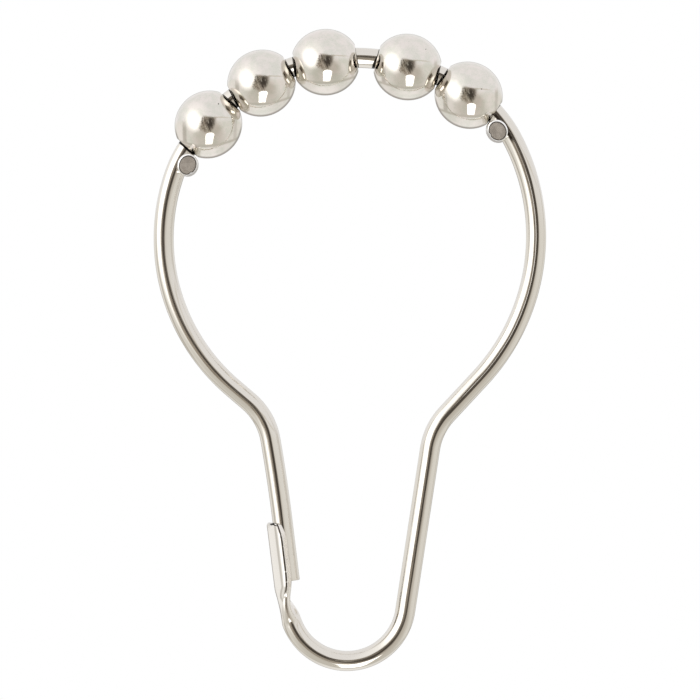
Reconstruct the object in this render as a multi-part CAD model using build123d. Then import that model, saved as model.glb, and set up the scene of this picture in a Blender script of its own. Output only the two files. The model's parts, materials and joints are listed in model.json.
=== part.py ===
from build123d import *
from math import asin, atan2, cos, degrees, hypot, pi, radians, sin
import os

# Shower curtain hook of spring wire, with five hollow roller beads.
# The wire lies in the XZ plane, with the beads at the top and +Z up, as it hangs on a rod.
# The origin is the middle of the ring that goes round the rod. All sizes are in millimetres.
# The ring's crest is its topmost point. Stations are lengths along the wire from the crest,
# positive to the right, as seen from the front (the side that faces -Y).

# Wire
wire_diameter = 2.2
crest_height = 20.1
crest_tilt = 1.0

# Right side, from the crest down to the bottom loop: turns are in degrees
right_crown_radius = 23.3
right_crown_turn = 35.1
right_corner_radius = 13.4
right_corner_turn = 28.0
right_side_radius = 23.0
right_side_turn = 70.8
right_flank_length = 5.4
right_shoulder_radius = 7.2
right_shoulder_turn = 34.2

# Left side, from the crest down to the free end, which bows a little in its catch
left_crown_radius = 21.8
left_crown_turn = 55.5
left_corner_radius = 13.8
left_corner_turn = 15.0
left_side_radius = 21.6
left_side_turn = 67.9
left_flank_length = 2.4
left_shoulder_radius = 7.1
left_shoulder_turn = 39.5
free_leg_bow_length = 9.0
free_leg_bow_turn = 2.9
free_leg_tip_length = 6.7
free_end_round = 0.12

# Catch: the wire's other end, pressed flat and rolled into a channel round the free leg
catch_clearance = 0.06
catch_wall = 0.62
catch_height = 6.2
catch_toe = 0.9
catch_offset = 0.5
mouth_slant = 0.5
mouth_corner_round = 0.3

# Lips: they reach a little past the free leg's middle, and are cut back in a curve at both ends
lip_reach = 0.29
lip_slope = 0.9
mouth_cut_height = 1.9
mouth_cut_depth = 0.4
toe_cut_height = 2.2
toe_cut_depth = 0.2

# Neck: where the channel closes up and the wire grows round again
neck_drop = 1.1
neck_depth = 1.4
neck_width = 3.0
neck_hollow = 0.1
neck_crown = 0.63
neck_edge_inset = 0.56
neck_edge_depth = 0.28
taper_drop = 1.1
taper_bend_length = 1.4

# Roller beads, in a row of three on the left and two on the right of a bare stretch of wire
bead_diameter = 7.3
bead_long_diameter = 7.6
bead_wall = 0.4
bead_bore_clearance = 0.28
bead_rim_round = 0.12
left_bead_clearance = 0.08
right_bead_clearance = 0.13
left_bead_count = 3
right_bead_count = 2
bare_stretch = 2.3
bare_stretch_station = 1.85

# Stop pins: short lengths of wire, pressed oval as they are welded across the inside of the ring
stop_pin_length = 5.0
stop_pin_breadth = 2.45
stop_pin_depth = 2.15
stop_pin_set_down = 1.17
stop_pin_round = 0.22
left_stop_gap = 0.5
right_stop_gap = 0.6

# Sizes that follow from those above
wire_radius = wire_diameter / 2
catch_inner_radius = wire_radius + catch_clearance
catch_outer_radius = catch_inner_radius + catch_wall
lip_foot = -lip_reach - lip_slope * (catch_inner_radius**2 - lip_reach**2) ** 0.5
bead_radius = bead_diameter / 2
bead_long_radius = bead_long_diameter / 2
bead_bore_radius = wire_radius + bead_bore_clearance
stop_pin_offset = wire_radius + stop_pin_depth / 2 - stop_pin_set_down

# A bead's rims: the middle of a rim's round is a circle of this radius, this far from the bead's middle
rim_radius = bead_bore_radius + bead_rim_round
rim_share = rim_radius / (bead_radius - bead_rim_round)
rim_offset = (bead_long_radius - bead_rim_round) * (1 - rim_share**2) ** 0.5
bead_length = 2 * (rim_offset + bead_rim_round)


def direction(heading):
    """The unit vector in the wire's plane at an angle from +X towards +Z."""
    return Vector(cos(radians(heading)), 0, sin(radians(heading)))


class Route:
    """A line in the wire's plane, bent from a start point as a wire is bent on a former."""

    def __init__(self, start, heading):
        self.end = start
        self.heading = heading
        self.length = 0
        self.edges = []
        self.pieces = []

    def straight(self, length):
        """Run on straight."""
        self.pieces.append((self.length, self.end, self.heading, 0))
        end = self.end + direction(self.heading) * length
        self.edges.append(Edge.make_line(self.end, end))
        self.end = end
        self.length += length

    def bend(self, radius, turn):
        """Turn by some degrees, positive from +X towards +Z, round an arc."""
        side = 1 if turn > 0 else -1
        self.pieces.append((self.length, self.end, self.heading, side / radius))
        length = radius * radians(abs(turn))
        middle, _ = self.at(self.length + length / 2)
        end, heading = self.at(self.length + length)
        self.edges.append(Edge.make_three_point_arc(self.end, middle, end))
        self.end = end
        self.heading = heading
        self.length += length

    def at(self, length):
        """The point and heading at a length along the route."""
        begun, point, heading, curvature = [p for p in self.pieces if p[0] <= length][-1]
        run = length - begun
        if curvature == 0:
            return point + direction(heading) * run, heading
        turned = degrees(run * curvature)
        across = direction(heading + 90) / curvature
        return point + across - direction(heading + turned + 90) / curvature, heading + turned


def ring_sides():
    """The wire's two sides, each from the crest down: the right leg is still without its length."""
    crest = Vector(0, 0, crest_height)
    right = Route(crest, crest_tilt)
    right.bend(right_crown_radius, -right_crown_turn)
    right.bend(right_corner_radius, -right_corner_turn)
    right.bend(right_side_radius, -right_side_turn)
    right.straight(right_flank_length)
    right.bend(right_shoulder_radius, right_shoulder_turn)

    left = Route(crest, 180 + crest_tilt)
    left.bend(left_crown_radius, left_crown_turn)
    left.bend(left_corner_radius, left_corner_turn)
    left.bend(left_side_radius, left_side_turn)
    left.straight(left_flank_length)
    left.bend(left_shoulder_radius, -left_shoulder_turn)
    left.bend(free_leg_bow_length / radians(free_leg_bow_turn), -free_leg_bow_turn)
    left.straight(free_leg_tip_length)
    return left, right


left_side, right_side = ring_sides()

# The catch is built on the free leg's own line: down along it, and out from it, away from the hook
free_end = left_side.end
down = direction(left_side.heading)
out = direction(left_side.heading - 90)
across = Vector(0, 1, 0)


def wire_at(station):
    """The point and the heading, towards the right, at a station along the ring."""
    if station >= 0:
        return right_side.at(station)
    point, heading = left_side.at(-station)
    return point, heading + 180


def catch_point(outwards, sideways, drop):
    """A point beside the free leg: outwards and sideways from its line, and below its end."""
    return free_end + out * outwards + across * sideways + down * drop


def catch_plane(drop):
    """A plane square to the free leg's line at a drop: its X is outwards and its Y across."""
    return Plane(catch_point(0, 0, drop), x_dir=out, z_dir=down)


def four_sided_face(corners, middles):
    """A section in its own plane: each side is an arc through its middle, or straight."""
    sides = []
    for n, middle in enumerate(middles):
        following = corners[(n + 1) % 4]
        if middle is None:
            sides.append(Edge.make_line(corners[n], following))
        else:
            sides.append(Edge.make_three_point_arc(corners[n], middle, following))
    return Face(Wire(sides))


def lip_edge(radius, cut_depth):
    """Where a lip's face meets the channel's inner or outer radius: outwards, and across."""
    foot = lip_foot + cut_depth
    root = (radius**2 * (1 + lip_slope**2) - foot**2) ** 0.5
    sideways = (root - foot * lip_slope) / (1 + lip_slope**2)
    return foot + lip_slope * sideways, sideways


def channel_face(cut_depth):
    """The rolled channel's section: its back is outwards and its two lips point inwards."""
    outer = lip_edge(catch_outer_radius, cut_depth)
    inner = lip_edge(catch_inner_radius, cut_depth)
    corners = [
        (outer[0], -outer[1]),
        outer,
        inner,
        (inner[0], -inner[1]),
    ]
    middles = [
        (catch_outer_radius, 0),
        None,
        (catch_inner_radius, 0),
        None,
    ]
    return four_sided_face(corners, middles)


def neck_face():
    """The neck's section: flat, and still a little hollow on the side of the groove."""
    back = catch_offset + wire_radius
    inner = back - neck_depth
    side = neck_width / 2
    corners = [
        (back - neck_crown, neck_hollow - side),
        (back - neck_crown, side - neck_hollow),
        (inner, side - neck_edge_inset),
        (inner, neck_edge_inset - side),
    ]
    middles = [
        (back, 0),
        (inner + neck_edge_depth, side),
        (inner + neck_hollow, 0),
        (inner + neck_edge_depth, -side),
    ]
    return four_sided_face(corners, middles)


def round_face():
    """The round wire's section, cut into four arcs that match the channel's."""
    quarter = wire_radius * cos(pi / 4)
    corners = [
        (quarter, -quarter),
        (quarter, quarter),
        (-quarter, quarter),
        (-quarter, -quarter),
    ]
    middles = [
        (wire_radius, 0),
        (0, wire_radius),
        (-wire_radius, 0),
        (0, -wire_radius),
    ]
    return four_sided_face(corners, middles)


def close_loop():
    """Run the right leg down and bend the bottom loop up to where the neck's taper ends."""
    loop_start = catch_point(catch_offset, 0, catch_toe + neck_drop + taper_drop)
    leg = direction(right_side.heading)
    leg_inwards = direction(right_side.heading - 90)
    # The loop's arc touches the right leg's line, and the catch's line where the taper starts to bend
    radius = (loop_start - right_side.end).dot(leg_inwards) / (1 + out.dot(leg_inwards))
    centre = loop_start - out * radius
    turn = right_side.heading - left_side.heading + 540 - degrees(taper_bend_length / radius)
    right_side.straight((centre - right_side.end).dot(leg))
    right_side.bend(radius, -turn)


def make_round_wire():
    """The round part of the wire: free leg, ring, right leg and bottom loop."""
    path = Wire([edge.reversed() for edge in reversed(left_side.edges)] + right_side.edges)
    section = Plane(free_end, x_dir=across, z_dir=-down) * Circle(wire_radius)
    wire = sweep(section, path=path)
    end_rim = wire.edges().filter_by(GeomType.CIRCLE).sort_by_distance(free_end)[0]
    return fillet(end_rim, free_end_round)


def make_mouth_outline():
    """The channel seen from the side: its back stands higher than its lips, and has a round corner."""
    mouth = -catch_height
    past_lips = -(lip_reach + catch_inner_radius) / 2
    corners = [
        catch_point(catch_outer_radius, 0, mouth - mouth_slant),
        catch_point(-lip_reach, 0, mouth),
        catch_point(past_lips, 0, mouth),
        catch_point(past_lips, 0, catch_toe),
        catch_point(catch_outer_radius, 0, catch_toe),
    ]
    outline = Face(Wire.make_polygon(corners, close=True))
    back_corner = outline.vertices().sort_by_distance(corners[0])[0]
    return fillet(back_corner, mouth_corner_round)


def make_lip_outline():
    """What the lips' faces leave, in the hook's plane: straight, and cut back in an arc at each end."""
    mouth_top = -catch_height - mouth_slant
    outside = 2 * catch_outer_radius
    mouth_cut_start = catch_point(lip_foot, 0, mouth_cut_height - catch_height)
    mouth_cut_end = catch_point(lip_foot + mouth_cut_depth, 0, -catch_height)
    mouth_cut = Edge.make_tangent_arc(mouth_cut_start, -down, mouth_cut_end)
    mouth_edge = catch_point(lip_foot + mouth_cut_depth, 0, mouth_top)
    toe_cut_start = catch_point(lip_foot, 0, catch_toe - toe_cut_height)
    toe_cut_end = catch_point(lip_foot + toe_cut_depth, 0, catch_toe)
    toe_cut = Edge.make_tangent_arc(toe_cut_start, down, toe_cut_end)
    outline = [
        Edge.make_line(toe_cut_start, mouth_cut_start),
        mouth_cut,
        Edge.make_line(mouth_cut_end, mouth_edge),
        Edge.make_line(mouth_edge, catch_point(outside, 0, mouth_top)),
        Edge.make_line(catch_point(outside, 0, mouth_top), catch_point(outside, 0, catch_toe)),
        Edge.make_line(catch_point(outside, 0, catch_toe), toe_cut_end),
        toe_cut,
    ]
    return Face(Wire(outline))


def make_catch():
    """The catch: the rolled channel with its mouth and lips trimmed, the neck and the taper."""
    ring = catch_plane(catch_toe) * (Circle(catch_outer_radius) - Circle(catch_inner_radius))
    tube = extrude(ring, catch_toe + catch_height + mouth_slant, dir=-down)
    tube &= extrude(make_mouth_outline(), catch_outer_radius, dir=across, both=True)
    lip_outline = make_lip_outline()
    slant = hypot(1, lip_slope) * catch_outer_radius
    halves = [extrude(lip_outline, slant, dir=out * lip_slope + across * side) for side in (-1, 1)]
    channel = (tube & halves[0]) + (tube & halves[1])

    loop_outwards = direction(right_side.heading + 90)
    loop_end = Plane(right_side.end, x_dir=loop_outwards, z_dir=-direction(right_side.heading))
    sections = [
        catch_plane(catch_toe) * channel_face(toe_cut_depth),
        catch_plane(catch_toe + neck_drop) * neck_face(),
        loop_end * round_face(),
    ]
    return channel + loft(sections)


def make_bead():
    """A roller bead: a hollow ball, a little longer along its bore, with rounded rims. Its bore is Z."""
    inner_radius = bead_radius - bead_wall
    inner_long_radius = bead_long_radius - bead_wall
    shell = Ellipse(bead_radius, bead_long_radius) - Ellipse(inner_radius, inner_long_radius)
    beside_bore = Rectangle(bead_diameter, bead_long_diameter, align=(Align.MIN, Align.CENTER))
    profile = shell & (Pos(bead_bore_radius, 0) * beside_bore)
    profile = fillet(profile.vertices(), bead_rim_round)
    return revolve(Plane.XZ * profile, Axis.Z)


def bead_stations(first, step, count):
    """The stations of a row of beads, each a step on from the last."""
    return [first + step * n for n in range(count)]


def bead_step(bend_radius, clearance):
    """The wire's length from bead to bead round a bend: the inner sides of their rims just clear."""
    bulge = bend_radius - (bend_radius**2 - bead_length**2 / 4) ** 0.5
    inner_rim = bend_radius - bulge - rim_radius
    half_turn = atan2(rim_offset, inner_rim)
    half_turn += asin((bead_rim_round + clearance / 2) / hypot(rim_offset, inner_rim))
    return 2 * bend_radius * half_turn


def place_bead(bead, station):
    """Thread a bead on the wire: both its holes are centred on the wire where it passes them."""
    left_hole, _ = wire_at(station - bead_length / 2)
    right_hole, _ = wire_at(station + bead_length / 2)
    middle = (left_hole + right_hole) / 2
    return Plane(middle, x_dir=across, z_dir=right_hole - left_hole).location * bead


def make_stop_pin(station, wire):
    """A stop pin, across the hook inside the ring and sunk into the wire that it is welded to."""
    point, heading = wire_at(station)
    middle = point + direction(heading - 90) * stop_pin_offset
    oval = Plane(middle, x_dir=direction(heading), z_dir=across) * Ellipse(
        stop_pin_breadth / 2, stop_pin_depth / 2
    )
    pin = extrude(oval, stop_pin_length / 2, both=True)
    pin = fillet(pin.edges().filter_by(GeomType.ELLIPSE), stop_pin_round)
    return pin - wire


close_loop()
round_wire = make_round_wire()
hook_wire = round_wire + make_catch()

half_bare = bare_stretch / 2 + bead_length / 2
left_step = bead_step(left_crown_radius, left_bead_clearance)
right_step = bead_step(right_crown_radius, right_bead_clearance)
left_stations = bead_stations(bare_stretch_station - half_bare, -left_step, left_bead_count)
right_stations = bead_stations(bare_stretch_station + half_bare, right_step, right_bead_count)
stop_reach = bead_length / 2 + stop_pin_breadth / 2
left_stop_station = left_stations[-1] - stop_reach - left_stop_gap
right_stop_station = right_stations[-1] + stop_reach + right_stop_gap

parts = {
    "hook_wire": hook_wire,
    "left_stop_pin": make_stop_pin(left_stop_station, round_wire),
    "right_stop_pin": make_stop_pin(right_stop_station, round_wire),
}
bead = make_bead()
for number, station in enumerate(sorted(left_stations + right_stations), start=1):
    parts[f"roller_bead_{number}"] = place_bead(bead, station)

os.makedirs("parts", exist_ok=True)
for name, shape in parts.items():
    export_step(shape, f"parts/{name}.step")
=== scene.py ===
import json
import math

import bpy
import numpy as np
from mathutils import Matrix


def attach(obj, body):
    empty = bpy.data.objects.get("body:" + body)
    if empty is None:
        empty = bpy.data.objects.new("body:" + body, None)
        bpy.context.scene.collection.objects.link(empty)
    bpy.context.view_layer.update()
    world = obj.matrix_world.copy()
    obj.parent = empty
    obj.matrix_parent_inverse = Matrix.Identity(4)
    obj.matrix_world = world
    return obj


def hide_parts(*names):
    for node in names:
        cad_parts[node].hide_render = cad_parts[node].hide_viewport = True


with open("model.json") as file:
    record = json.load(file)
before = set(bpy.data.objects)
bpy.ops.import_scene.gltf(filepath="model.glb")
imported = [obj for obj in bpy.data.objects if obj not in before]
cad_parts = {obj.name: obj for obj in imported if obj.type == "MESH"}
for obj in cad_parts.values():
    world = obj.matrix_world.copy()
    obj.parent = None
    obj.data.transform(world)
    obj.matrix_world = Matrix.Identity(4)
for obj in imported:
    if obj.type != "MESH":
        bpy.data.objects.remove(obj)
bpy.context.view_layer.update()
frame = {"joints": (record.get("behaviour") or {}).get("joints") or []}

MM = 0.001

# Wire: the same bends as the solid has, each a radius and a turn in degrees, from the ring's crest down
WIRE_RADIUS = 1.1 * MM
CREST = (0.0, 0.0, 20.1 * MM)
CREST_TILT = 1.0
RIGHT_BENDS = [(23.3 * MM, -35.1), (13.4 * MM, -28.0), (23.0 * MM, -70.8)]
RIGHT_FLANK = 5.4 * MM
RIGHT_SHOULDER = (7.2 * MM, 34.2)
LEFT_BENDS = [(21.8 * MM, 55.5), (13.8 * MM, 15.0), (21.6 * MM, 67.9)]
LEFT_FLANK = 2.4 * MM
LEFT_SHOULDER = (7.1 * MM, -39.5)
FREE_LEG_BOW_LENGTH = 9.0 * MM
FREE_LEG_BOW_TURN = 2.9
FREE_LEG_TIP_LENGTH = 6.7 * MM
FREE_END_ROUND = 0.12 * MM

# Catch, on the free leg's own line: outwards is away from the hook, and a drop is below the free end
CATCH_INNER_RADIUS = WIRE_RADIUS + 0.06 * MM
CATCH_OUTER_RADIUS = CATCH_INNER_RADIUS + 0.62 * MM
CATCH_HEIGHT = 6.2 * MM
CATCH_TOE = 0.9 * MM
CATCH_OFFSET = 0.5 * MM
MOUTH_SLANT = 0.5 * MM
MOUTH_CORNER_ROUND = 0.3 * MM
MOUTH_EDGE_ROUND = 0.06 * MM
MOUTH_BLEND = 2.0 * MM

# Lips: flat faces that are cut back in an arc at both ends
LIP_REACH = 0.29 * MM
LIP_SLOPE = 0.9
LIP_FOOT = -LIP_REACH - LIP_SLOPE * math.sqrt(CATCH_INNER_RADIUS**2 - LIP_REACH**2)
MOUTH_CUT_HEIGHT = 1.9 * MM
MOUTH_CUT_DEPTH = 0.4 * MM
TOE_CUT_HEIGHT = 2.2 * MM
TOE_CUT_DEPTH = 0.2 * MM
LIP_OUTER_ROUND = 0.14 * MM
LIP_INNER_ROUND = 0.05 * MM

# Neck and taper. The neck's share is of the way from the toe to the round wire
NECK_DROP = 1.1 * MM
NECK_DEPTH = 1.4 * MM
NECK_WIDTH = 3.0 * MM
NECK_HOLLOW = 0.1 * MM
NECK_CROWN = 0.63 * MM
NECK_EDGE_INSET = 0.56 * MM
NECK_EDGE_DEPTH = 0.28 * MM
NECK_ROUND = 0.16 * MM
TAPER_DROP = 1.1 * MM
TAPER_BEND_LENGTH = 1.4 * MM
NECK_SHARE = 0.3

# Roller beads
BEAD_RADIUS = 3.65 * MM
BEAD_LONG_RADIUS = 3.8 * MM
BEAD_WALL = 0.4 * MM
BEAD_BORE_RADIUS = WIRE_RADIUS + 0.28 * MM
BEAD_RIM_ROUND = 0.12 * MM
BEAD_INNER_EDGE = BEAD_BORE_RADIUS + 0.1 * MM

# Where the round of a bead's rim lies: its share of the radius, its centre and its reach along the bore
RIM_SHARE = (BEAD_BORE_RADIUS + BEAD_RIM_ROUND) / (BEAD_RADIUS - BEAD_RIM_ROUND)
RIM_CENTRE = (BEAD_LONG_RADIUS - BEAD_RIM_ROUND) * math.sqrt(1 - RIM_SHARE**2)
RIM_REACH = RIM_CENTRE + BEAD_RIM_ROUND

# Stop pins
PIN_LENGTH = 5.0 * MM
PIN_BREADTH = 2.45 * MM
PIN_DEPTH = 2.15 * MM
PIN_SET_DOWN = 1.17 * MM
PIN_ROUND = 0.22 * MM
PIN_GAPS = {"left_stop_pin": 0.5 * MM, "right_stop_pin": 0.6 * MM}

# Flash where a pin is welded on, as a share of its radius, and how far it reaches along the pin
FLASH_SHARES = {"left_stop_pin": 0.0, "right_stop_pin": 0.1}
FLASH_REACH = 0.8 * MM

# Nick in the rim of a pin's front end: its angle round the pin and its half width, both in degrees
NICK_ANGLES = {"left_stop_pin": 130.0, "right_stop_pin": 95.0}
NICK_HALF_WIDTH = 7.0
NICK_SHARE = 0.12
NICK_INNER_SHARE = 0.7
NICK_LENGTH = 0.3 * MM

# Bare face of a pin's cut end: its share of the radius, which is greatest where the plate is worn
FACE_SHARE = 0.865
FACE_SHIFT = 0.065
WORN_ANGLES = {"left_stop_pin": 130.0, "right_stop_pin": 40.0}

# How finely the meshes are divided
RING_SPACING = 0.35 * MM
ARC_POINTS = 24
LIP_POINTS = 8
CORNER_POINTS = 4
RING_POINTS = 2 * ARC_POINTS + 2 * LIP_POINTS + 4 * CORNER_POINTS
SIDE_SAMPLES = 400
ROUND_TURNS = np.radians([15, 30, 45, 60, 75, 90])
MOUTH_TURNS = np.radians([0, 30, 60])
CREASE_REACH = 0.7 * MM
CREASE_PASSES = 4
BEAD_OUTER_POINTS = 72
BEAD_INNER_POINTS = 36
BEAD_RIM_POINTS = 8
BEAD_SEGMENTS = 96
FACE_RINGS = [0.3, 0.55]
PIN_RINGS = 22
PIN_SEGMENTS = 64
FLOOR_SEGMENTS = 128

# How far either side of the crest, and how finely, the beads' stations are looked for
TOP_REACH = 45 * MM
STATION_STEP = 0.05 * MM

# Edges sharper than these angles, in degrees, are shaded as edges
WIRE_SHARP_ANGLE = 40
TURNED_SHARP_ANGLE = 60

# Camera: 700 pixels of the photograph are 77 mm at the hook, which stands 600 mm away
FIELD_WIDTH = 77 * MM
CAMERA_DISTANCE = 600 * MM
CAMERA_HEIGHT = -12.045 * MM
SENSOR_WIDTH = 36.0

FLOOR_RADIUS = 130 * MM
FLOOR_HEIGHT = -60 * MM


# The wire's route

def heading_vector(degrees):
    """The unit vector in the wire's plane at an angle from +X towards +Z."""
    angle = math.radians(degrees)
    return np.array([math.cos(angle), 0.0, math.sin(angle)])


class Route:
    """A line in the wire's plane, bent from a start point as a wire is bent on a former."""

    def __init__(self, start, heading):
        self.end = np.array(start)
        self.heading = heading
        self.length = 0.0
        self.runs = []

    def straight(self, length):
        self.runs.append((self.length, self.end, self.heading, 0.0))
        self.end = self.end + heading_vector(self.heading) * length
        self.length += length

    def bend(self, radius, turn):
        side = math.copysign(1.0, turn)
        self.runs.append((self.length, self.end, self.heading, side / radius))
        length = radius * math.radians(abs(turn))
        self.end, self.heading = self.at(self.length + length)
        self.length += length

    def at(self, length):
        """The point and heading at a length along the route."""
        begun, point, heading, curvature = [run for run in self.runs if run[0] <= length + 1e-12][-1]
        run = length - begun
        if curvature == 0:
            return point + heading_vector(heading) * run, heading
        turned = math.degrees(run * curvature)
        across = heading_vector(heading + 90) / curvature
        return point + across - heading_vector(heading + turned + 90) / curvature, heading + turned


def make_left_route():
    """The left side of the ring from its crest, and the free leg down to its end."""
    route = Route(CREST, 180 + CREST_TILT)
    for radius, turn in LEFT_BENDS:
        route.bend(radius, turn)
    route.straight(LEFT_FLANK)
    route.bend(*LEFT_SHOULDER)
    route.bend(FREE_LEG_BOW_LENGTH / math.radians(FREE_LEG_BOW_TURN), -FREE_LEG_BOW_TURN)
    route.straight(FREE_LEG_TIP_LENGTH)
    return route


def make_right_route():
    """The right side of the ring from its crest, the right leg, and the bottom loop up to the taper."""
    route = Route(CREST, CREST_TILT)
    for radius, turn in RIGHT_BENDS:
        route.bend(radius, turn)
    route.straight(RIGHT_FLANK)
    route.bend(*RIGHT_SHOULDER)

    # The loop's arc touches the right leg's line, and the catch's line where the taper starts to bend
    loop_end = free_end + out * CATCH_OFFSET + down * (CATCH_TOE + NECK_DROP + TAPER_DROP)
    leg = heading_vector(route.heading)
    inwards = heading_vector(route.heading - 90)
    radius = (loop_end - route.end) @ inwards / (1 + out @ inwards)
    centre = loop_end - out * radius
    # The loop turns to the right until it heads up the catch, against the free leg's own heading
    catch_heading = left_route.heading + 180 - 2 * 360
    turn = route.heading - catch_heading - math.degrees(TAPER_BEND_LENGTH / radius)
    route.straight((centre - route.end) @ leg)
    route.bend(radius, -turn)
    return route


left_route = make_left_route()

# The free leg's end, the way that it points, and the way square to it that leads off the hook
free_end = left_route.end
down = heading_vector(left_route.heading)
out = heading_vector(left_route.heading - 90)

right_route = make_right_route()

# Stations along the wire, which count from the crest and grow to the right
CATCH_LENGTH = CATCH_HEIGHT + CATCH_TOE + NECK_DROP + TAPER_DROP + TAPER_BEND_LENGTH
LOOP_END_STATION = right_route.length
MOUTH_STATION = LOOP_END_STATION + CATCH_LENGTH
TOE_STATION = MOUTH_STATION - CATCH_HEIGHT - CATCH_TOE


def wire_at(station):
    """The point and the heading, towards the right, at a station along the ring from its crest."""
    if station >= 0:
        return right_route.at(station)
    point, heading = left_route.at(-station)
    return point, heading + 180


def station_of(point):
    """The station along the top of the ring that is nearest to a point."""
    stations = np.arange(-TOP_REACH, TOP_REACH, STATION_STEP)
    distances = [np.linalg.norm(wire_at(station)[0] - point) for station in stations]
    return stations[int(np.argmin(distances))]


# Sections of the wire, the neck and the channel, as points outwards and sideways of the wire's line

def arc_through(start, middle, end, count):
    """Points evenly along the arc through three points, with both ends."""
    (ax, ay), (bx, by), (cx, cy) = start, middle, end
    d = 2 * (ax * (by - cy) + bx * (cy - ay) + cx * (ay - by))
    squares = [ax * ax + ay * ay, bx * bx + by * by, cx * cx + cy * cy]
    ux = (squares[0] * (by - cy) + squares[1] * (cy - ay) + squares[2] * (ay - by)) / d
    uy = (squares[0] * (cx - bx) + squares[1] * (ax - cx) + squares[2] * (bx - ax)) / d
    radius = math.hypot(ax - ux, ay - uy)
    first = math.atan2(ay - uy, ax - ux)
    halfway = (math.atan2(by - uy, bx - ux) - first + math.pi) % (2 * math.pi) - math.pi
    angles = first + 2 * halfway * np.linspace(0, 1, count)
    return np.column_stack([ux + radius * np.cos(angles), uy + radius * np.sin(angles)])


def rounded_section(corners, middles, rounds):
    """A closed section of four sides, arcs or straight, whose corners are rounded."""
    sides = []
    for n, middle in enumerate(middles):
        if middle is None:
            sides.append(np.linspace(corners[n], corners[(n + 1) % 4], SIDE_SAMPLES))
        else:
            sides.append(arc_through(corners[n], middle, corners[(n + 1) % 4], SIDE_SAMPLES))
    lengths = [np.r_[0, np.cumsum(np.hypot(*np.diff(side, axis=0).T))] for side in sides]

    def on_side(n, distance):
        return np.array([np.interp(distance, lengths[n], sides[n][:, axis]) for axis in (0, 1)])

    points = []
    for n, count in enumerate([ARC_POINTS, LIP_POINTS, ARC_POINTS, LIP_POINTS]):
        total = lengths[n][-1]
        first = rounds[n]
        last = rounds[(n + 1) % 4]
        for share in (np.arange(count) + 0.5) / count:
            points.append(on_side(n, first + (total - first - last) * share))
        before = on_side(n, total - last)
        after = on_side((n + 1) % 4, last)
        corner = np.array(corners[(n + 1) % 4])
        for share in (np.arange(CORNER_POINTS) + 0.5) / CORNER_POINTS:
            points.append((1 - share) ** 2 * before + 2 * share * (1 - share) * corner + share**2 * after)
    return np.array(points)


def lip_edge(radius, cut_depth):
    """Where a lip's face meets the channel's inner or outer radius: outwards, and sideways."""
    foot = LIP_FOOT + cut_depth
    root = math.sqrt(radius**2 * (1 + LIP_SLOPE**2) - foot**2)
    sideways = (root - foot * LIP_SLOPE) / (1 + LIP_SLOPE**2)
    return foot + LIP_SLOPE * sideways, sideways


def channel_section(cut_depth, inset=0.0):
    """The rolled channel: its back is outwards, and its two lips point inwards."""
    outer_radius = CATCH_OUTER_RADIUS - inset
    inner_radius = CATCH_INNER_RADIUS + inset
    outer = lip_edge(outer_radius, cut_depth + inset)
    inner = lip_edge(inner_radius, cut_depth + inset)
    corners = [(outer[0], -outer[1]), outer, inner, (inner[0], -inner[1])]
    middles = [(outer_radius, 0.0), None, (inner_radius, 0.0), None]
    rounds = [LIP_OUTER_ROUND, LIP_OUTER_ROUND, LIP_INNER_ROUND, LIP_INNER_ROUND]
    return rounded_section(corners, middles, rounds)


def neck_section():
    """The neck: pressed flat, and still a little hollow on the side of the groove."""
    back = CATCH_OFFSET + WIRE_RADIUS
    inner = back - NECK_DEPTH
    side = NECK_WIDTH / 2
    corners = [
        (back - NECK_CROWN, NECK_HOLLOW - side),
        (back - NECK_CROWN, side - NECK_HOLLOW),
        (inner, side - NECK_EDGE_INSET),
        (inner, NECK_EDGE_INSET - side),
    ]
    middles = [
        (back, 0.0),
        (inner + NECK_EDGE_DEPTH, side),
        (inner + NECK_HOLLOW, 0.0),
        (inner + NECK_EDGE_DEPTH, -side),
    ]
    return rounded_section(corners, middles, [NECK_ROUND] * 4)


def round_section():
    """The round wire, with as many points as the other sections and in the same order."""
    quarter = WIRE_RADIUS * math.sqrt(0.5)
    corners = [(quarter, -quarter), (quarter, quarter), (-quarter, quarter), (-quarter, -quarter)]
    middles = [(WIRE_RADIUS, 0.0), (0.0, WIRE_RADIUS), (-WIRE_RADIUS, 0.0), (0.0, -WIRE_RADIUS)]
    section = rounded_section(corners, middles, [LIP_INNER_ROUND] * 4)
    return section * (WIRE_RADIUS / np.hypot(*section.T))[:, None]


ROUND = round_section()


def arc_cut(run, height, depth):
    """How deep a cut is that leaves a straight edge in an arc and reaches a depth at a height."""
    radius = (height**2 + depth**2) / (2 * depth)
    return radius - math.sqrt(radius**2 - max(0.0, run) ** 2)


def lip_cut(drop):
    """How far the lips' faces are cut back at a drop."""
    mouth_run = MOUTH_CUT_HEIGHT - CATCH_HEIGHT - drop
    toe_run = drop + TOE_CUT_HEIGHT - CATCH_TOE
    mouth_cut = arc_cut(mouth_run, MOUTH_CUT_HEIGHT, MOUTH_CUT_DEPTH)
    return mouth_cut + arc_cut(toe_run, TOE_CUT_HEIGHT, TOE_CUT_DEPTH)


def mouth_rise(outwards):
    """How far the mouth's slanted edge, with its round corner, stands above the lips' ends."""
    slope = MOUTH_SLANT / (CATCH_OUTER_RADIUS + LIP_REACH)
    slant = math.hypot(1, slope)
    straight = slope * np.maximum(outwards + LIP_REACH, 0)
    centre = CATCH_OUTER_RADIUS - MOUTH_CORNER_ROUND
    centre_rise = slope * (centre + LIP_REACH) - MOUTH_CORNER_ROUND * slant
    past = np.clip(outwards - centre, -MOUTH_CORNER_ROUND, MOUTH_CORNER_ROUND)
    corner = centre_rise + np.sqrt(MOUTH_CORNER_ROUND**2 - past**2)
    return np.where(past > -MOUTH_CORNER_ROUND * slope / slant, corner, straight)


def smooth_step(share):
    share = np.clip(share, 0.0, 1.0)
    return share * share * (3 - 2 * share)


# Meshes

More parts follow.
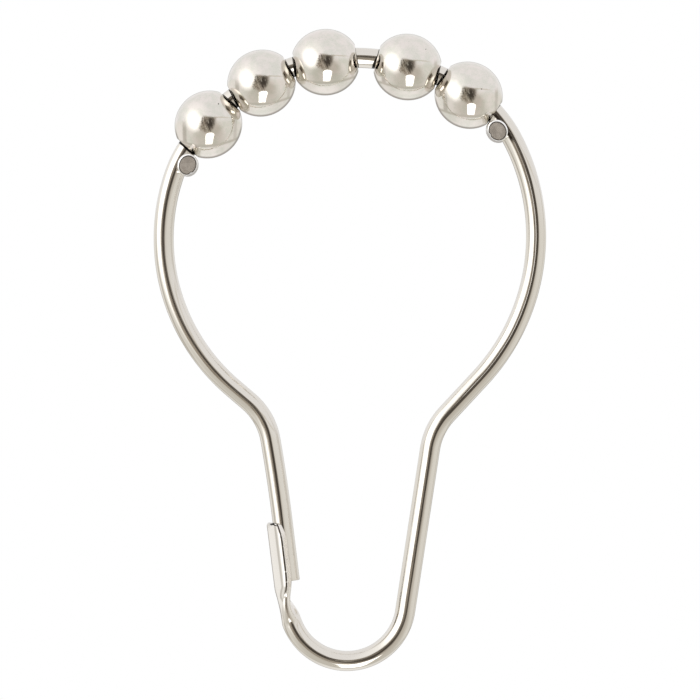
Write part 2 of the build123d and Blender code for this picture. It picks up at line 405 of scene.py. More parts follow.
def mesh_object(name, points, faces, sharp_angle=None):
    """A smooth-shaded object of the given points and faces, whose name is also its mesh's."""
    mesh = bpy.data.meshes.new(name)
    mesh.from_pydata([tuple(p) for p in points], [], faces)
    mesh.update()
    mesh.shade_smooth()
    if sharp_angle is not None:
        mesh.set_sharp_from_angle(angle=math.radians(sharp_angle))
    made = bpy.data.objects.new(name, mesh)
    bpy.context.scene.collection.objects.link(made)
    return made


def loft_faces(ring_count, ring_points, closed=False):
    """The quads between rings of points that follow one another."""
    faces = []
    last = ring_count if closed else ring_count - 1
    for ring in range(last):
        a = ring * ring_points
        b = (ring + 1) % ring_count * ring_points
        for n in range(ring_points):
            m = (n + 1) % ring_points
            faces.append((a + n, a + m, b + m, b + n))
    return faces


def store_vector(mesh, name, values):
    """Keep a vector for each point of a mesh, for its material to read."""
    attribute = mesh.attributes.new(name, "FLOAT_VECTOR", "POINT")
    attribute.data.foreach_set("vector", np.asarray(values, np.float32).ravel())


def placed(section, origin, outwards):
    """A section's points in space."""
    return origin + np.outer(section[:, 0], outwards) + np.outer(section[:, 1], (0, 1, 0))


def channel_rings():
    """The channel from its slanted mouth to its toe, each ring with its height below the mouth."""
    levels = []
    for turn in MOUTH_TURNS:
        inset = MOUTH_EDGE_ROUND * (1 - math.sin(turn))
        levels.append((MOUTH_EDGE_ROUND * (1 - math.cos(turn)), inset))
    for height in np.arange(MOUTH_EDGE_ROUND, CATCH_HEIGHT + CATCH_TOE - RING_SPACING / 4, RING_SPACING / 2):
        levels.append((height, 0.0))
    rings = []
    for height, inset in levels:
        drop = height - CATCH_HEIGHT
        section = channel_section(lip_cut(drop), inset)
        rise = mouth_rise(section[:, 0]) * (1 - smooth_step(height / MOUTH_BLEND))
        ring = placed(section, free_end + down * drop, out) - np.outer(rise, down)
        rings.append((height, ring))
    return rings


def neck_rings():
    """The neck and the taper: one smooth form through the toe, the neck and the round wire."""
    toe = placed(channel_section(lip_cut(CATCH_TOE)), free_end + down * CATCH_TOE, out)
    neck = placed(neck_section(), free_end + down * (CATCH_TOE + NECK_DROP), out)
    loop = placed(ROUND, right_route.end, heading_vector(right_route.heading + 90))
    length = NECK_DROP + TAPER_DROP + TAPER_BEND_LENGTH
    rings = []
    for share in np.arange(0, 1, 0.5 * RING_SPACING / length):
        at_toe = (share - NECK_SHARE) * (share - 1) / NECK_SHARE
        at_neck = share * (share - 1) / (NECK_SHARE * (NECK_SHARE - 1))
        at_loop = share * (share - NECK_SHARE) / (1 - NECK_SHARE)
        height = CATCH_HEIGHT + CATCH_TOE + length * share
        rings.append((height, toe * at_toe + neck * at_neck + loop * at_loop))
    return rings


def wire_rings():
    """The round wire from the bottom loop's end, over the ring, to the free end's rounded rim."""
    total = right_route.length + left_route.length
    count = int(total / RING_SPACING)
    rings = []
    for station in np.linspace(right_route.length, FREE_END_ROUND - left_route.length, count):
        point, heading = wire_at(station)
        rings.append((station, placed(ROUND, point, heading_vector(heading + 90))))
    for turn in ROUND_TURNS:
        radius = WIRE_RADIUS - FREE_END_ROUND * (1 - math.cos(turn))
        origin = free_end - down * FREE_END_ROUND * (1 - math.sin(turn))
        rings.append((-left_route.length, placed(ROUND * (radius / WIRE_RADIUS), origin, out)))
    return rings


def smooth_crease(heights, rings):
    """Let the channel run into the neck without a crease, by smoothing the rings near its toe."""
    toe = CATCH_HEIGHT + CATCH_TOE
    first = next(n for n, height in enumerate(heights) if height > toe - CREASE_REACH)
    last = next(n for n, height in enumerate(heights) if height > toe + CREASE_REACH)
    for _ in range(CREASE_PASSES):
        smoothed = [(rings[n - 1] + 2 * rings[n] + rings[n + 1]) / 4 for n in range(first, last)]
        rings[first:last] = smoothed


def make_wire():
    """The whole wire as one loft: mouth, channel, neck, loop, right leg, ring and free leg."""
    catch = channel_rings() + neck_rings()
    heights = [height for height, _ in catch]
    rings = [ring for _, ring in catch]
    smooth_crease(heights, rings)
    stations = [MOUTH_STATION - height for height in heights]
    for station, ring in wire_rings():
        stations.append(station)
        rings.append(ring)

    # The channel's inner arc has the dark material of bare steel and painted shade, from its first point in
    # a ring to its last
    first_inner = ARC_POINTS + LIP_POINTS + 2 * CORNER_POINTS
    last_inner = first_inner + ARC_POINTS - 1
    faces = loft_faces(len(rings), RING_POINTS)
    inside = []
    for station in stations[:-1]:
        in_channel = MOUTH_STATION - station < CATCH_HEIGHT
        for n in range(RING_POINTS):
            inside.append(int(in_channel and first_inner <= n < last_inner))

    # The mouth's own edge, from the outer arc to the inner one, and round the two lips
    for n in range(ARC_POINTS - 1):
        faces.append((n + 1, n, last_inner - n, last_inner - 1 - n))
    faces.append(tuple(reversed(range(ARC_POINTS - 1, first_inner + 1))))
    faces.append((0, *reversed(range(last_inner, RING_POINTS))))
    # The free end's flat face
    last = (len(rings) - 1) * RING_POINTS
    faces.append(tuple(last + n for n in range(RING_POINTS)))

    wire = mesh_object("wire", np.vstack(rings), faces, WIRE_SHARP_ANGLE)
    inside += [0] * (len(faces) - len(inside))
    wire.data.polygons.foreach_set("material_index", inside)
    # Each point's place on a round section, outwards and sideways, and its station
    places = [np.column_stack([ROUND, np.full(RING_POINTS, station)]) for station in stations]
    store_vector(wire.data, "wire_place", np.vstack(places))
    return wire


def make_bead(name, centre, bore):
    """A roller bead: a hollow, slightly long ball of revolution about its bore."""
    start = math.asin(RIM_SHARE)
    outer = []
    for angle in np.linspace(start, math.pi - start, BEAD_OUTER_POINTS):
        outer.append((BEAD_LONG_RADIUS * math.cos(angle), BEAD_RADIUS * math.sin(angle)))

    slope = math.atan2(BEAD_LONG_RADIUS * math.sin(start), BEAD_RADIUS * math.cos(start))
    rim_radius = BEAD_BORE_RADIUS + BEAD_RIM_ROUND
    rim = []
    for turn in np.linspace(slope, -math.pi / 2, BEAD_RIM_POINTS + 1)[1:]:
        along = RIM_CENTRE + BEAD_RIM_ROUND * math.cos(turn)
        rim.append((along, rim_radius + BEAD_RIM_ROUND * math.sin(turn)))
    far_rim = [(-along, radius) for along, radius in rim]

    inner_radius = BEAD_RADIUS - BEAD_WALL
    inner_long = BEAD_LONG_RADIUS - BEAD_WALL
    inner_start = math.asin(BEAD_INNER_EDGE / inner_radius)
    inner = []
    for angle in np.linspace(math.pi - inner_start, inner_start, BEAD_INNER_POINTS):
        inner.append((inner_long * math.cos(angle), inner_radius * math.sin(angle)))

    profile = outer + far_rim + inner + rim[::-1]
    across = np.array([0.0, 1.0, 0.0])
    side = np.cross(bore, across)
    points = []
    for along, radius in profile:
        for angle in 2 * math.pi * np.arange(BEAD_SEGMENTS) / BEAD_SEGMENTS:
            spoke = across * math.cos(angle) + side * math.sin(angle)
            points.append(centre + bore * along + spoke * radius)
    faces = loft_faces(len(profile), BEAD_SEGMENTS, closed=True)
    bead = mesh_object(name, points, faces, TURNED_SHARP_ANGLE)

    # The plate ends halfway round each rim, where the dark material of bare steel and painted shade begins
    first_inside = len(outer) + len(rim) // 2
    last_inside = len(profile) - len(rim) // 2
    inside = []
    for ring in range(len(profile)):
        inside += [int(first_inside <= ring < last_inside)] * BEAD_SEGMENTS
    bead.data.polygons.foreach_set("material_index", inside)
    return bead


def make_pin(node, station):
    """A stop pin: a short oval with flat cut ends, and flash round it where it is welded on."""
    point, heading = wire_at(station)
    along = heading_vector(heading)
    inwards = heading_vector(heading - 90)
    centre = point + inwards * (WIRE_RADIUS + PIN_DEPTH / 2 - PIN_SET_DOWN)
    half = PIN_LENGTH / 2

    # Rings from the front to the back: their place along Y, and their share of the pin's radius
    front = [(-half, share) for share in (*FACE_RINGS, 1 - 2 * PIN_ROUND / PIN_DEPTH)]
    for turn in ROUND_TURNS:
        inset = PIN_ROUND * (1 - math.sin(turn))
        front.append((-half + PIN_ROUND * (1 - math.cos(turn)), 1 - 2 * inset / PIN_DEPTH))
    shaft = [(y, 1.0) for y in np.linspace(-half + PIN_ROUND, half - PIN_ROUND, PIN_RINGS + 2)[1:-1]]
    back = [(-y, share) for y, share in reversed(front)]
    levels = front + shaft + back

    angles = 2 * math.pi * np.arange(PIN_SEGMENTS) / PIN_SEGMENTS
    nick = np.exp(-((np.degrees(angles) - NICK_ANGLES[node]) / NICK_HALF_WIDTH) ** 2)
    face_edge = FACE_SHARE + FACE_SHIFT * np.cos(angles - math.radians(WORN_ANGLES[node]))
    points = []
    places = []
    for y, share in levels:
        bulge = 1 + FLASH_SHARES[node] * math.exp(-((y / FLASH_REACH) ** 2))
        nicked = share > NICK_INNER_SHARE and y < NICK_LENGTH - half
        size = share * bulge * (1 - NICK_SHARE * nick * nicked)
        x = np.cos(angles) * PIN_BREADTH / 2 * size
        r = np.sin(angles) * PIN_DEPTH / 2 * size
        points.append(centre + np.outer(x, along) + np.outer(r, inwards) + np.array([0.0, y, 0.0]))
        depth = np.full(PIN_SEGMENTS, abs(y))
        places.append(np.column_stack([np.full(PIN_SEGMENTS, share), depth, face_edge]))
    faces = loft_faces(len(levels), PIN_SEGMENTS)
    faces.append(tuple(reversed(range(PIN_SEGMENTS))))
    last = (len(levels) - 1) * PIN_SEGMENTS
    faces.append(tuple(last + n for n in range(PIN_SEGMENTS)))
    pin = mesh_object(node.replace("_stop", ""), np.vstack(points), faces, TURNED_SHARP_ANGLE)
    # Each point's share of the radius, its distance from the pin's middle, and where the bare face ends
    store_vector(pin.data, "pin_place", np.vstack(places))
    return pin


# Shader building blocks

class Field:
    """A number in a shader, so that sums of them read as plain arithmetic."""

    def __init__(self, tree, socket):
        self.tree = tree
        self.socket = socket

    def _math(self, operation, *others):
        node = self.tree.nodes.new("ShaderNodeMath")
        node.operation = operation
        for slot, value in zip(node.inputs, (self, *others)):
            if isinstance(value, Field):
                self.tree.links.new(value.socket, slot)
            else:
                slot.default_value = value
        return Field(self.tree, node.outputs[0])

    def __add__(self, other):
        return self._math("ADD", other)

    def __sub__(self, other):
        return self._math("SUBTRACT", other)

    def __mul__(self, other):
        return self._math("MULTIPLY", other)

    def __truediv__(self, other):
        return self._math("DIVIDE", other)

    def root(self):
        return self._math("SQRT")

    def size(self):
        return self._math("ABSOLUTE")

    def at_least(self, other):
        return self._math("MAXIMUM", other)

    def ramp(self, low, high):
        """0 at low and 1 at high, smooth between."""
        node = self.tree.nodes.new("ShaderNodeMapRange")
        node.interpolation_type = "SMOOTHSTEP"
        self.tree.links.new(self.socket, node.inputs["Value"])
        node.inputs["From Min"].default_value = low
        node.inputs["From Max"].default_value = high
        return Field(self.tree, node.outputs["Result"])

    def band(self, middle, outer, inner):
        """1 within the inner distance of a middle value, and 0 beyond the outer one."""
        return (self - middle).size().ramp(outer, inner)

    def between(self, low, high):
        """From low to high, as this goes from 0 to 1."""
        return self * (high - low) + low


def split(tree, vector):
    """The three numbers of a vector."""
    node = tree.nodes.new("ShaderNodeSeparateXYZ")
    tree.links.new(vector, node.inputs[0])
    return [Field(tree, socket) for socket in node.outputs]


def joined(tree, *fields):
    """A vector of up to three numbers."""
    node = tree.nodes.new("ShaderNodeCombineXYZ")
    for slot, field in zip(node.inputs, fields):
        tree.links.new(field.socket, slot)
    return node.outputs[0]


def attribute(tree, name):
    node = tree.nodes.new("ShaderNodeAttribute")
    node.attribute_name = name
    return node.outputs["Vector"]


def noise(tree, vector, scale, detail, roughness=0.5):
    node = tree.nodes.new("ShaderNodeTexNoise")
    node.inputs["Scale"].default_value = scale
    node.inputs["Detail"].default_value = detail
    node.inputs["Roughness"].default_value = roughness
    tree.links.new(vector, node.inputs["Vector"])
    return Field(tree, node.outputs["Fac"])


def paint(tree, under, mask, over):
    """Lay one colour over another where the mask is 1. Each is plain, or comes out of a node."""
    mix = tree.nodes.new("ShaderNodeMix")
    mix.data_type = "RGBA"
    tree.links.new(mask.socket, mix.inputs["Factor"])
    # A mix of colours has them at inputs 6 and 7, and its result at output 2
    for slot, colour in ((mix.inputs[6], under), (mix.inputs[7], over)):
        if isinstance(colour, tuple):
            slot.default_value = (*colour, 1.0)
        else:
            tree.links.new(colour, slot)
    return mix.outputs[2]


def any_of(masks):
    """The mask that covers all that the given masks cover."""
    whole = masks[0]
    for mask in masks[1:]:
        whole = whole.at_least(mask)
    return whole


# The studio: soft light all round, painted by direction, and white behind the hook
# A place (u, v) is where a polished ball, seen from the front, shows a direction: across and up

CEILING = (1.03, 1.03, 1.055)
WALL = (0.94, 0.93, 0.90)
TABLE = (0.745, 0.725, 0.675)
SIDE_WALL = (1.02, 1.01, 0.99)
SIDE_SHADE = (0.66, 0.64, 0.60)
UPRIGHT = (0.78, 0.76, 0.73)
TABLE_EDGE = (0.68, 0.66, 0.61)
BACKDROP = (0.96, 0.955, 0.94)
BACKDROP_MIDDLE = (1.10, 1.10, 1.10)
WINDOW_GLOW = (1.24, 1.24, 1.25)
WINDOW = (2.3, 2.3, 2.3)
SHELF = (0.82, 0.79, 0.73)
NEAR_CAMERA = (0.66, 0.62, 0.565)
CAMERA_BROWN = (0.47, 0.415, 0.35)
CAMERA_SPECKLE = (0.22, 0.185, 0.15)
CAMERA_CORE = (0.075, 0.064, 0.055)
DARK_STREAK = (0.07, 0.06, 0.05)
PALE_STREAK = (0.70, 0.66, 0.59)
LAMP = (3.0, 3.0, 3.0)
RIM_SHADE = (0.58, 0.57, 0.55)
LOWER_RIM_SHADE = (0.44, 0.42, 0.40)

# The table's far edge: its height, and how much the ball bows it
TABLE_EDGE_HEIGHT = -0.67
TABLE_EDGE_BOW = 0.3

# The lamp: its place, its half width, and how it leans, widens upwards and is crowned
LAMP_ACROSS = 0.055
LAMP_HEIGHT = -0.43
LAMP_HALF_WIDTH = 0.108
LAMP_LEAN = 0.1
LAMP_FLARE = 0.1
LAMP_CROWN = 0.04


def round_mask(u, v, centre, half, soft):
    """A soft-edged ellipse on the disc of directions."""
    x = (u - centre[0]) / half[0]
    y = (v - centre[1]) / half[1]
    return (x * x + y * y).root().ramp(1 + soft, 1 - soft)


def paint_room(tree, u, v):
    """What stands all round: pale above, darker towards the table, and white beyond its far edge."""
    colour = paint(tree, CEILING, v.ramp(0.20, 0.0), WALL)
    table = round_mask(u, v, centre=(0.04, -0.42), half=(0.46, 0.36), soft=0.35)
    colour = paint(tree, colour, table, TABLE)
    above_edge = v - u * u * TABLE_EDGE_BOW - TABLE_EDGE_HEIGHT
    side = u.ramp(-0.60, -0.66) * v.ramp(0.20, 0.06) * above_edge.ramp(0.0, 0.06)
    colour = paint(tree, colour, side, SIDE_WALL)
    colour = paint(tree, colour, side * u.ramp(-0.78, -0.72), SIDE_SHADE)
    colour = paint(tree, colour, u.band(0.80, 0.07, 0.02) * v.ramp(0.30, 0.12), UPRIGHT)
    colour = paint(tree, colour, above_edge.ramp(0.09, 0.03), TABLE_EDGE)
    colour = paint(tree, colour, above_edge.ramp(0.02, -0.03), BACKDROP)
    middle = above_edge.ramp(0.0, -0.12) * u.size().ramp(0.5, 0.1)
    return paint(tree, colour, middle, BACKDROP_MIDDLE)


def paint_window(tree, colour, u, v):
    """A soft window to the left, with its glow above."""
    glow = round_mask(u, v, centre=(-0.42, 0.28), half=(0.32, 0.34), soft=0.5)
    colour = paint(tree, colour, glow, WINDOW_GLOW)
    window = round_mask(u + v * 0.15, v, centre=(-0.40, 0.12), half=(0.165, 0.23), soft=0.75)
    return paint(tree, colour, window, WINDOW)


def paint_camera(tree, colour, u, v):
    """The camera on its stand: brown and speckled, streaked, and dark in the middle."""
    # A shelf's edge, nearly level, runs off to the right of the camera
    level = v + u * 0.03
    shelf = level.band(0.19, 0.025, 0.010) * u.ramp(0.15, 0.20) * u.ramp(0.75, 0.45)
    colour = paint(tree, colour, shelf, SHELF)
    near = round_mask(u, v, centre=(0.12, -0.12), half=(0.27, 0.30), soft=0.5)
    colour = paint(tree, colour, near * (v + u * 0.5).ramp(0.32, 0.0), NEAR_CAMERA)

    speckle = noise(tree, joined(tree, u * 26.0, v * 20.0), scale=1.0, detail=3.0)
    streaks = noise(tree, joined(tree, (u + v * 0.36) * 17.0, v * 2.5), scale=1.0, detail=3.0)
    # Its sides lean, a corner is cut off low on the left, and its edges are ragged
    ragged = speckle - 0.5
    across = u - v * 0.35 + ragged * 0.16
    corner = (u * 0.58 + v * 0.81 + ragged * 0.1).ramp(-0.30, -0.19)
    top = (v + u * 0.18 + ragged * 0.08).ramp(0.25, 0.17)
    shape = across.ramp(-0.28, -0.15) * across.ramp(0.25, 0.09) * v.ramp(-0.32, -0.18) * top * corner
    colour = paint(tree, colour, shape, CAMERA_BROWN)
    colour = paint(tree, colour, shape * speckle.ramp(0.50, 0.58) * 0.8, CAMERA_SPECKLE)
    core = round_mask(u + ragged * 0.1, v, centre=(0.06, 0.03), half=(0.125, 0.16), soft=0.6)
    colour = paint(tree, colour, core * level.ramp(0.215, 0.18), CAMERA_CORE)
    colour = paint(tree, colour, shape * streaks.ramp(0.55, 0.63), DARK_STREAK)
    return paint(tree, colour, shape * streaks.ramp(0.43, 0.37) * 0.8, PALE_STREAK)


def paint_lamp(tree, colour, u, v):
    """The lamp below the camera: upright, narrower at its foot, with a slanted side."""
    up = v - LAMP_HEIGHT
    x = (u - LAMP_ACROSS - up * LAMP_LEAN) / (up * LAMP_FLARE + LAMP_HALF_WIDTH)
    shoulder = (x * x * LAMP_CROWN + up).ramp(0.185, 0.155)
    return paint(tree, colour, x.size().ramp(1.12, 0.88) * up.ramp(-0.17, -0.14) * shoulder, LAMP)


def paint_rim(tree, colour, u, v):
    """Thin shade of the hook's own outline on what is behind it, wider below."""
    reach = (u * u + v * v).root()
    colour = paint(tree, colour, reach.ramp(0.972, 0.995), RIM_SHADE)
    return paint(tree, colour, reach.ramp(0.93, 0.98) * v.ramp(0.10, -0.2), LOWER_RIM_SHADE)


def make_world():
    """Light by direction: what a polished ball shows when it is seen from the front."""
    world = bpy.data.worlds.new("studio")
    bpy.context.scene.world = world
    world.use_nodes = True
    tree = world.node_tree
    tree.nodes.clear()
    coordinates = tree.nodes.new("ShaderNodeTexCoord")
    x, y, z = split(tree, coordinates.outputs["Generated"])
    # A ball mirrors a direction to the front where its normal lies halfway between the two
    spread = (y * -2.0 + 2.0).at_least(1e-6).root()
    u = x / spread
    v = z / spread

    colour = paint_room(tree, u, v)
    colour = paint_window(tree, colour, u, v)
    colour = paint_camera(tree, colour, u, v)
    colour = paint_lamp(tree, colour, u, v)
    colour = paint_rim(tree, colour, u, v)

    light = tree.nodes.new("ShaderNodeBackground")
    tree.links.new(colour, light.inputs["Color"])
    white = tree.nodes.new("ShaderNodeBackground")
    white.inputs["Color"].default_value = (1.0, 1.0, 1.0, 1.0)
    path = tree.nodes.new("ShaderNodeLightPath")
    choose = tree.nodes.new("ShaderNodeMixShader")
    tree.links.new(path.outputs["Is Camera Ray"], choose.inputs[0])
    tree.links.new(light.outputs[0], choose.inputs[1])
    tree.links.new(white.outputs[0], choose.inputs[2])
    output = tree.nodes.new("ShaderNodeOutputWorld")
    tree.links.new(choose.outputs[0], output.inputs["Surface"])


# Materials

# Colours of the metals, of what lies on them, and of the shade painted on them
WIRE_PLATE = (0.70, 0.665, 0.605)
CATCH_PLATE = (0.82, 0.79, 0.745)
BEAD_PLATE = (0.755, 0.70, 0.65)
BEAD_MOTTLE = (0.66, 0.645, 0.575)
PIN_PLATE = (0.93, 0.915, 0.89)
CUT_STEEL = (0.42, 0.38, 0.335)
CUT_STEEL_GRAIN = (0.60, 0.55, 0.49)
CUT_EDGE = (0.10, 0.09, 0.08)
BARE_STEEL = (0.08, 0.07, 0.06)
# These two are oil and dust on bare steel, and near black as painted shade where little light gets in
OIL_AND_SHADE = (0.006, 0.005, 0.004)
DUST_AND_SHADE = (0.022, 0.018, 0.014)
# Painted shade in the gaps at the beads' holes and at the mouth's nicks
DEEP_SHADE = (0.012, 0.010, 0.008)
# Painted shade and dark reflection along the lip's edges
LIP_EDGE_SHADE = (0.09, 0.075, 0.06)
# Painted shade in the corner behind a pin
PIN_CORNER_SHADE = (0.05, 0.04, 0.032)
FLOOR_PALE = (0.86, 0.86, 0.85)

# Bump: the depths of a bead's polishing waves, of the grain in a cut end and of the wire's drawn lines
WAVE_DEPTH = 0.008 * MM
GRAIN_DEPTH = 0.02 * MM
LINE_DEPTH = 0.015 * MM

# The wire isn't quite round: a low crown and a lean on the left, a flat and a drawn ridge on the right
WIRE_CROWN = 0.018 * MM
WIRE_LEAN = 0.09
WIRE_FLAT = 0.034 * MM
WIRE_RIDGE = 0.008 * MM

# The catch's rolled sheet is curled more tightly towards the lips
LIP_CURL = 0.40 * MM

# The right side's relief comes in over this length on both sides of the crest. It goes out along the
# bottom loop, between two stations, and its ridge ends sooner
CREST_BLEND = 5 * MM
LOOP_STATION = 50 * MM
LOOP_BLEND_END = 61 * MM
RIDGE_END = 58 * MM

# A bead's rim comes this much sooner for each length outwards, because the wire bends inside the bead
RING_RADIUS = 22.5 * MM
RIM_TILT = RIM_REACH / RING_RADIUS

# How far the painted shade reaches from each bead's two holes, on the ring's outer side and on its inner
# side
HOLE_SHADE_WIDTHS = [
    ((0.28 * MM, 0.34 * MM), (0.10 * MM, 0.18 * MM)),
    ((0.10 * MM, 0.18 * MM), (0.10 * MM, 0.18 * MM)),
    ((0.12 * MM, 0.18 * MM), (0.05 * MM, 0.14 * MM)),
    ((0.10 * MM, 0.36 * MM), (0.10 * MM, 0.18 * MM)),
    ((0.10 * MM, 0.18 * MM), (0.01 * MM, 0.12 * MM)),
]

# Painted shade of nicks at the catch's mouth: how far it lies below the mouth, its place across the front,
# and how ragged it is
NICK_SHADE_DROP = 0.20 * MM
NICK_SHADE_ACROSS = -0.64 * MM
NICK_SHADE_RAGGED = 1.2 * MM

# Pits in the plate of the beads, as seen from the front: places across and up, and their radius
PITS = [
    (-14.4 * MM, 14.9 * MM, 0.10 * MM),
    (-10.0 * MM, 22.7 * MM, 0.09 * MM),
    (14.4 * MM, 16.5 * MM, 0.09 * MM),
    (8.3 * MM, 20.9 * MM, 0.07 * MM),
]


def new_material(name, metallic):
    material = bpy.data.materials.new(name)
    material.use_nodes = True
    tree = material.node_tree
    shader = tree.nodes["Principled BSDF"]
    shader.inputs["Metallic"].default_value = metallic
    return material, tree, shader


def object_place(tree):
    """A point's place in its own object, so that marks move with the piece."""
    return tree.nodes.new("ShaderNodeTexCoord").outputs["Object"]


def bump(tree, shader, height, distance):
    node = tree.nodes.new("ShaderNodeBump")
    node.inputs["Distance"].default_value = distance
    tree.links.new(height.socket, node.inputs["Height"])
    tree.links.new(node.outputs["Normal"], shader.inputs["Normal"])


def bead_nickel():
    """Polished nickel plate on pressed steel, with fine polishing marks and a few pits."""
    material, tree, shader = new_material("bead_nickel", metallic=1.0)
    place = object_place(tree)
    x, _, z = split(tree, place)
    pits = []
    for across, up, radius in PITS:
        reach = ((x - across) * (x - across) + (z - up) * (z - up)).root()
        pits.append(reach.ramp(radius, radius * 0.4))
    mottle = noise(tree, place, scale=900.0, detail=4.0, roughness=0.7)
    colour = paint(tree, BEAD_PLATE, mottle.ramp(0.35, 0.65), BEAD_MOTTLE)
    colour = paint(tree, colour, any_of(pits), BARE_STEEL)
    roughness = mottle.ramp(0.3, 0.7).between(0.045, 0.095)
    tree.links.new(colour, shader.inputs["Base Color"])
    tree.links.new(roughness.socket, shader.inputs["Roughness"])
    waves = noise(tree, place, scale=900.0, detail=5.0, roughness=0.6)
    bump(tree, shader, waves, WAVE_DEPTH)
    return material


def shaded_dark_inside():
    """Bare steel inside a bead or the channel, with oil and dust, painted near black as shade where little
    light gets in.
    """
    material, tree, shader = new_material("shaded_dark_inside", metallic=0.0)
    dust = noise(tree, object_place(tree), scale=1200.0, detail=3.0)
    colour = paint(tree, OIL_AND_SHADE, dust.ramp(0.3, 0.8), DUST_AND_SHADE)
    tree.links.new(colour, shader.inputs["Base Color"])
    shader.inputs["Roughness"].default_value = 0.7
    return material


def hole_shade_mask(x, station, bead_stations):
    """Painted shade on the wire in the gaps at the beads' holes."""
    patches = []
    for bead, widths in zip(bead_stations, HOLE_SHADE_WIDTHS):
        for way, (outer, inner) in zip((-1, 1), widths):
            past_rim = (station - bead) * way + x * RIM_TILT - RIM_REACH
            width = x.ramp(0.5 * MM, -0.7 * MM).between(outer, inner)
            patches.append((past_rim / width).ramp(1.1, 0.8) * past_rim.ramp(-0.6 * MM, -0.5 * MM))
    return any_of(patches)


def mouth_nick_shade_mask(y, station, ragged):
    """Painted shade of small nicks at the catch's mouth, on its front."""
    along = (station + (ragged - 0.5) * NICK_SHADE_RAGGED).band(MOUTH_STATION - NICK_SHADE_DROP, 0.16 * MM, 0.08 * MM)
    return along * y.band(NICK_SHADE_ACROSS, 0.22 * MM, 0.16 * MM)


def lip_edge_shade_mask(x, y, station, ragged):
    """Painted shade along both edges of the front lip: a dark reflection at its outer corner and a shadow in
    the gap at its inner one.
    """
    edges = x.size().band(WIRE_RADIUS * math.sqrt(0.5), 0.06 * MM, 0.01 * MM)
    on_lip = y.ramp(-0.1 * MM, -0.3 * MM) * (station - TOE_STATION).ramp(-0.6 * MM, -0.1 * MM)
    return edges * on_lip * ragged.ramp(0.30, 0.45)


def pin_corner_shade_mask(x, station, pin_station):
    """Painted shade along the wire in the corner behind a pin."""
    return station.band(pin_station, 2.3 * MM, 1.5 * MM) * x.band(-0.13 * MM, 0.22 * MM, 0.10 * MM)


def wire_relief(x, y, station):
    """How high the real wire and its catch stand off the mesh, which has them plain."""
    left = x.size().ramp(0.75 * WIRE_RADIUS, 0.0) * WIRE_CROWN + x * WIRE_LEAN
    flat = x.ramp(-0.12 * MM, 0.36 * MM) * WIRE_FLAT
    ridge = x.band(-0.01 * MM, 0.05 * MM, 0.0) * station.ramp(RIDGE_END, LOOP_STATION) * WIRE_RIDGE
    on_right = station.ramp(-CREST_BLEND, CREST_BLEND) * station.ramp(LOOP_BLEND_END, LOOP_STATION)
    round_wire = left + (flat + ridge - left) * on_right
    before_catch = (station - LOOP_END_STATION).ramp(1.0 * MM, -0.5 * MM)
    curl = y.size().ramp(0.25 * MM, 0.85 * MM) * LIP_CURL
    on_catch = (station - TOE_STATION).ramp(-1.0 * MM, 0.5 * MM)
    return round_wire * before_catch + curl * on_catch


def wire_nickel(bead_stations, pin_station):
    """Nickel plate on drawn wire, with fine lines along it and painted shade at the beads' holes, the
    mouth's nicks, the lip's edges and behind a pin.
    """
    material, tree, shader = new_material("wire_nickel", metallic=1.0)
    x, y, station = split(tree, attribute(tree, "wire_place"))
    ragged = noise(tree, joined(tree, x, y, station), scale=2500.0, detail=2.0)
    on_catch = (station - LOOP_END_STATION).ramp(0.0, 3.0 * MM)
    colour = paint(tree, WIRE_PLATE, on_catch, CATCH_PLATE)
    # Painted shade: along the lip's edges, behind the right pin, at the beads' holes and at the mouth's
    # nicks
    colour = paint(tree, colour, lip_edge_shade_mask(x, y, station, ragged), LIP_EDGE_SHADE)
    colour = paint(tree, colour, pin_corner_shade_mask(x, station, pin_station), PIN_CORNER_SHADE)
    dark_shade = any_of([hole_shade_mask(x, station, bead_stations), mouth_nick_shade_mask(y, station, ragged)])
    colour = paint(tree, colour, dark_shade, DEEP_SHADE)

    lines = noise(tree, joined(tree, x, y, station * 0.02), scale=4200.0, detail=3.0)
    roughness = lines.ramp(0.2, 0.9).between(0.055, 0.115)
    tree.links.new(colour, shader.inputs["Base Color"])
    tree.links.new(roughness.socket, shader.inputs["Roughness"])
    bump(tree, shader, lines + wire_relief(x, y, station) / LINE_DEPTH, LINE_DEPTH)
    return material


def pin_nickel():
    """Plate round the pin, and its matte cut ends with a dark line round them."""
    material, tree, shader = new_material("pin_nickel", metallic=1.0)
    share, depth, face_edge = split(tree, attribute(tree, "pin_place"))
    past_face = share - face_edge
    end = depth.ramp(PIN_LENGTH / 2 - 0.16 * MM, PIN_LENGTH / 2 - 0.12 * MM)
    face = end * past_face.ramp(0.02, -0.02)
    edge = end * past_face.ramp(-0.10, -0.06) * past_face.ramp(0.03, 0.01)
    grain = noise(tree, object_place(tree), scale=1400.0, detail=4.0)
    cut = paint(tree, CUT_STEEL, grain.ramp(0.3, 0.75), CUT_STEEL_GRAIN)
    colour = paint(tree, PIN_PLATE, face, cut)
    colour = paint(tree, colour, edge, CUT_EDGE)
    roughness = face.between(0.28, 0.58)
    tree.links.new(colour, shader.inputs["Base Color"])
    tree.links.new(roughness.socket, shader.inputs["Roughness"])
    bump(tree, shader, grain * face, GRAIN_DEPTH)
    return material


# Stage

def make_floor():
    """A plain pale round floor, below the hook and out of the camera's frame."""
    angles = 2 * math.pi * np.arange(FLOOR_SEGMENTS) / FLOOR_SEGMENTS
    points = [(FLOOR_RADIUS * math.cos(a), FLOOR_RADIUS * math.sin(a), FLOOR_HEIGHT) for a in angles]
    floor = mesh_object("floor", points, [tuple(range(FLOOR_SEGMENTS))])
    material, _, shader = new_material("floor_pale", metallic=0.0)
    shader.inputs["Base Color"].default_value = (*FLOOR_PALE, 1.0)
    shader.inputs["Roughness"].default_value = 0.8
    floor.data.materials.append(material)
    floor.visible_glossy = False


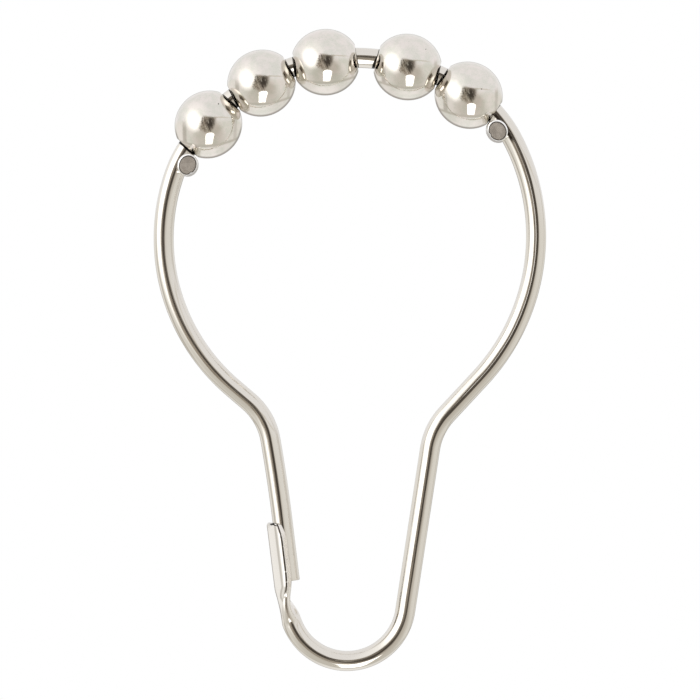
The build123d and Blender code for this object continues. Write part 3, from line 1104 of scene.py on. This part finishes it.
def make_camera():
    """The camera looks straight along +Y, as the photograph looks at the hook."""
    data = bpy.data.cameras.new("camera")
    data.sensor_width = SENSOR_WIDTH
    data.lens = SENSOR_WIDTH * CAMERA_DISTANCE / FIELD_WIDTH
    data.clip_start = 0.01
    data.clip_end = 10.0
    camera = bpy.data.objects.new("camera", data)
    camera.location = (0.0, -CAMERA_DISTANCE, CAMERA_HEIGHT)
    camera.rotation_euler = (math.pi / 2, 0.0, 0.0)
    bpy.context.scene.collection.objects.link(camera)
    bpy.context.scene.camera = camera


# The pieces, each with its material and on its body

def dress_beads(inside):
    """The beads, and the stations of their middles along the wire."""
    plate = bead_nickel()
    stations = []
    for joint in frame["joints"]:
        number = joint["child"].split("_")[1]
        centre = np.array(joint["pos_m"])
        bead = make_bead(f"bead_{number}", centre, np.array(joint["axis"]))
        bead.data.materials.append(plate)
        bead.data.materials.append(inside)
        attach(bead, joint["child"])
        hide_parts(f"roller_bead_{number}")
        stations.append(station_of(centre))
    return stations


def place_pins(bead_stations):
    """The stations of the two pins, each a gap away from its end of the row of beads."""
    reach = RIM_REACH + PIN_BREADTH / 2
    return {
        "left_stop_pin": min(bead_stations) - reach - PIN_GAPS["left_stop_pin"],
        "right_stop_pin": max(bead_stations) + reach + PIN_GAPS["right_stop_pin"],
    }


def dress_wire(inside, bead_stations, pin_station):
    """The wire, with painted shade at the beads and behind a pin."""
    wire = make_wire()
    wire.data.materials.append(wire_nickel(bead_stations, pin_station))
    wire.data.materials.append(inside)
    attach(wire, "hook")
    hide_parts("hook_wire")


def dress_pins(pin_stations):
    """The two stop pins."""
    plate = pin_nickel()
    for node, station in pin_stations.items():
        pin = make_pin(node, station)
        pin.data.materials.append(plate)
        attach(pin, "hook")
        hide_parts(node)


def dress():
    """All the pieces: the wire and the pins take their marks and places from where the beads are."""
    inside = shaded_dark_inside()
    bead_stations = dress_beads(inside)
    pin_stations = place_pins(bead_stations)
    dress_wire(inside, bead_stations, pin_stations["right_stop_pin"])
    dress_pins(pin_stations)


bpy.context.scene.view_settings.view_transform = "Standard"
make_world()
make_floor()
make_camera()
dress()
